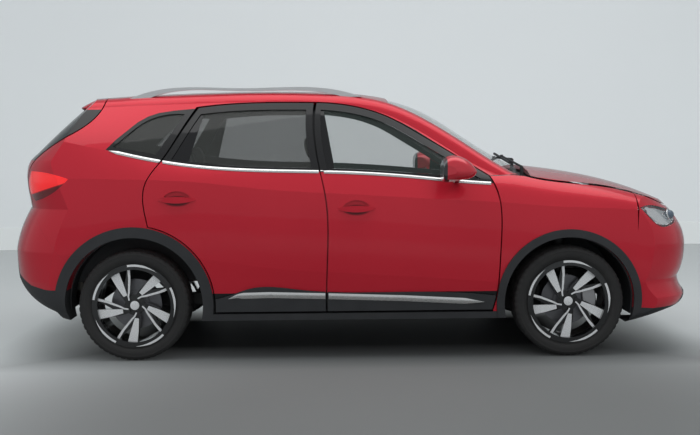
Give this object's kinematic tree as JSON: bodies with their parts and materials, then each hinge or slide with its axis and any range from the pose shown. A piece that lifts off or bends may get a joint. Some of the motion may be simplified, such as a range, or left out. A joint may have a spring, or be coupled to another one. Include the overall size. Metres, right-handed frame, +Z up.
{
  "type": "compact crossover car",
  "caption": "Compact crossover car: a raised hatchback body with opening doors, hood and tailgate, steered front wheels and a furnished cabin.",
  "frame": {"origin": "on the ground, below the middle of the car's length and width", "axes": "+X to the front, +Y to the car's left, +Z up"},
  "size_m": [4.3231, 2.196, 1.6272],
  "materials": {
    "black_plastic": "grained matt black",
    "body_paint": "deep metallic red, clear-coated",
    "interior_plastic": "grained dark grey",
    "engine_metal": "cast",
    "exhaust_steel": "dull",
    "floor_paint": "grey underseal",
    "disc_iron": "turned",
    "clear_glass": "clear",
    "chassis_steel": "black painted",
    "mirror_paint": "red cap over a black base",
    "rim_finish": "machined face over gloss black",
    "tyre_rubber": "matt",
    "seat_fabric": "woven dark grey",
    "gloss_black": "gloss black",
    "headlamp_lens": "clear lens",
    "dark_glass": "dark tinted",
    "rail_metal": "satin",
    "tail_lamp_lens": "red lens"
  },
  "bodies": {
    "body": {"arch_cladding": "black_plastic", "arch_liners": "black_plastic", "body_sides": "body_paint", "bumper_skirts": "black_plastic", "cowl": "black_plastic", "dashboard": "interior_plastic", "engine_block": "engine_metal", "exhaust": "exhaust_steel", "floor_pan": "floor_paint", "front_bumper": "body_paint", "front_fenders": "body_paint", "front_seats": "seat_fabric", "front_subframe": "chassis_steel", "grille": "gloss_black", "headlamps": "headlamp_lens", "quarter_windows": "dark_glass", "rear_axle": "chassis_steel", "rear_bumper": "body_paint", "rear_seat": "seat_fabric", "roof_panel": "body_paint", "roof_rails": "rail_metal", "tail_lamps": "tail_lamp_lens", "windscreen": "clear_glass", "wipers": "black_plastic"},
    "hood": {"hood_panel": "body_paint"},
    "tailgate": {"tailgate_panel": "body_paint", "tailgate_window": "dark_glass"},
    "steering_wheel": {"steering_wheel": "interior_plastic"},
    "front_left_door": {"front_left_door_cladding": "black_plastic", "front_left_door_handle": "body_paint", "front_left_door_panel": "body_paint", "front_left_door_window": "clear_glass", "front_left_mirror": "mirror_paint"},
    "front_left_wheel": {"front_left_tyre": "tyre_rubber", "front_left_rim": "rim_finish", "front_left_brake_disc": "disc_iron"},
    "rear_left_door": {"rear_left_door_cladding": "black_plastic", "rear_left_door_handle": "body_paint", "rear_left_door_panel": "body_paint", "rear_left_door_window": "dark_glass"},
    "rear_left_wheel": {"rear_left_tyre": "tyre_rubber", "rear_left_rim": "rim_finish", "rear_left_brake_disc": "disc_iron"},
    "front_left_knuckle": {"front_left_knuckle": "chassis_steel"},
    "front_right_door": {"front_right_door_cladding": "black_plastic", "front_right_door_handle": "body_paint", "front_right_door_panel": "body_paint", "front_right_door_window": "clear_glass", "front_right_mirror": "mirror_paint"},
    "front_right_wheel": {"front_right_tyre": "tyre_rubber", "front_right_rim": "rim_finish", "front_right_brake_disc": "disc_iron"},
    "rear_right_door": {"rear_right_door_cladding": "black_plastic", "rear_right_door_handle": "body_paint", "rear_right_door_panel": "body_paint", "rear_right_door_window": "dark_glass"},
    "rear_right_wheel": {"rear_right_tyre": "tyre_rubber", "rear_right_rim": "rim_finish", "rear_right_brake_disc": "disc_iron"},
    "front_right_knuckle": {"front_right_knuckle": "chassis_steel"}
  },
  "joints": [
    {"name": "front_left_steering", "type": "hinge", "parent": "body", "child": "front_left_knuckle", "pos_m": [1.2815, 0.72, 0.33], "axis": [0, 0, 1], "range_deg": [-33, 33]},
    {"name": "front_left_wheel_spin", "type": "hinge", "parent": "front_left_knuckle", "child": "front_left_wheel", "pos_m": [1.2815, 0.763, 0.33], "axis": [0, 1, 0], "continuous": true},
    {"name": "rear_left_wheel_spin", "type": "hinge", "parent": "body", "child": "rear_left_wheel", "pos_m": [-1.3035, 0.763, 0.33], "axis": [0, 1, 0], "continuous": true},
    {"name": "front_left_door_hinge", "type": "hinge", "parent": "body", "child": "front_left_door", "pos_m": [0.826, 0.87054, 0.7], "axis": [0, 0, -1], "range_deg": [0, 66]},
    {"name": "rear_left_door_hinge", "type": "hinge", "parent": "body", "child": "rear_left_door", "pos_m": [-0.204, 0.879, 0.7], "axis": [0, 0, -1], "range_deg": [0, 66]},
    {"name": "front_right_steering", "type": "hinge", "parent": "body", "child": "front_right_knuckle", "pos_m": [1.2815, -0.72, 0.33], "axis": [0, 0, 1], "range_deg": [-33, 33]},
    {"name": "front_right_wheel_spin", "type": "hinge", "parent": "front_right_knuckle", "child": "front_right_wheel", "pos_m": [1.2815, -0.763, 0.33], "axis": [0, 1, 0], "continuous": true},
    {"name": "rear_right_wheel_spin", "type": "hinge", "parent": "body", "child": "rear_right_wheel", "pos_m": [-1.3035, -0.763, 0.33], "axis": [0, 1, 0], "continuous": true},
    {"name": "front_right_door_hinge", "type": "hinge", "parent": "body", "child": "front_right_door", "pos_m": [0.826, -0.87054, 0.7], "axis": [0, 0, 1], "range_deg": [0, 66]},
    {"name": "rear_right_door_hinge", "type": "hinge", "parent": "body", "child": "rear_right_door", "pos_m": [-0.204, -0.879, 0.7], "axis": [0, 0, 1], "range_deg": [0, 66]},
    {"name": "hood_hinge", "type": "hinge", "parent": "body", "child": "hood", "pos_m": [1.085, 0, 1.118], "axis": [0, -1, 0], "range_deg": [0, 50]},
    {"name": "tailgate_hinge", "type": "hinge", "parent": "body", "child": "tailgate", "pos_m": [-1.4875, 0, 1.594], "axis": [0, 1, 0], "range_deg": [0, 80]},
    {"name": "steering_wheel_turn", "type": "hinge", "parent": "body", "child": "steering_wheel", "pos_m": [0.425, -0.375, 0.905], "axis": [-0.9135, 0, 0.4067], "range_deg": [-467, 467]}
  ],
  "couplings": [
    {"joint": "front_right_steering", "follows": "front_left_steering", "ratio": 1},
    {"joint": "steering_wheel_turn", "follows": "front_left_steering", "ratio": 14}
  ]
}
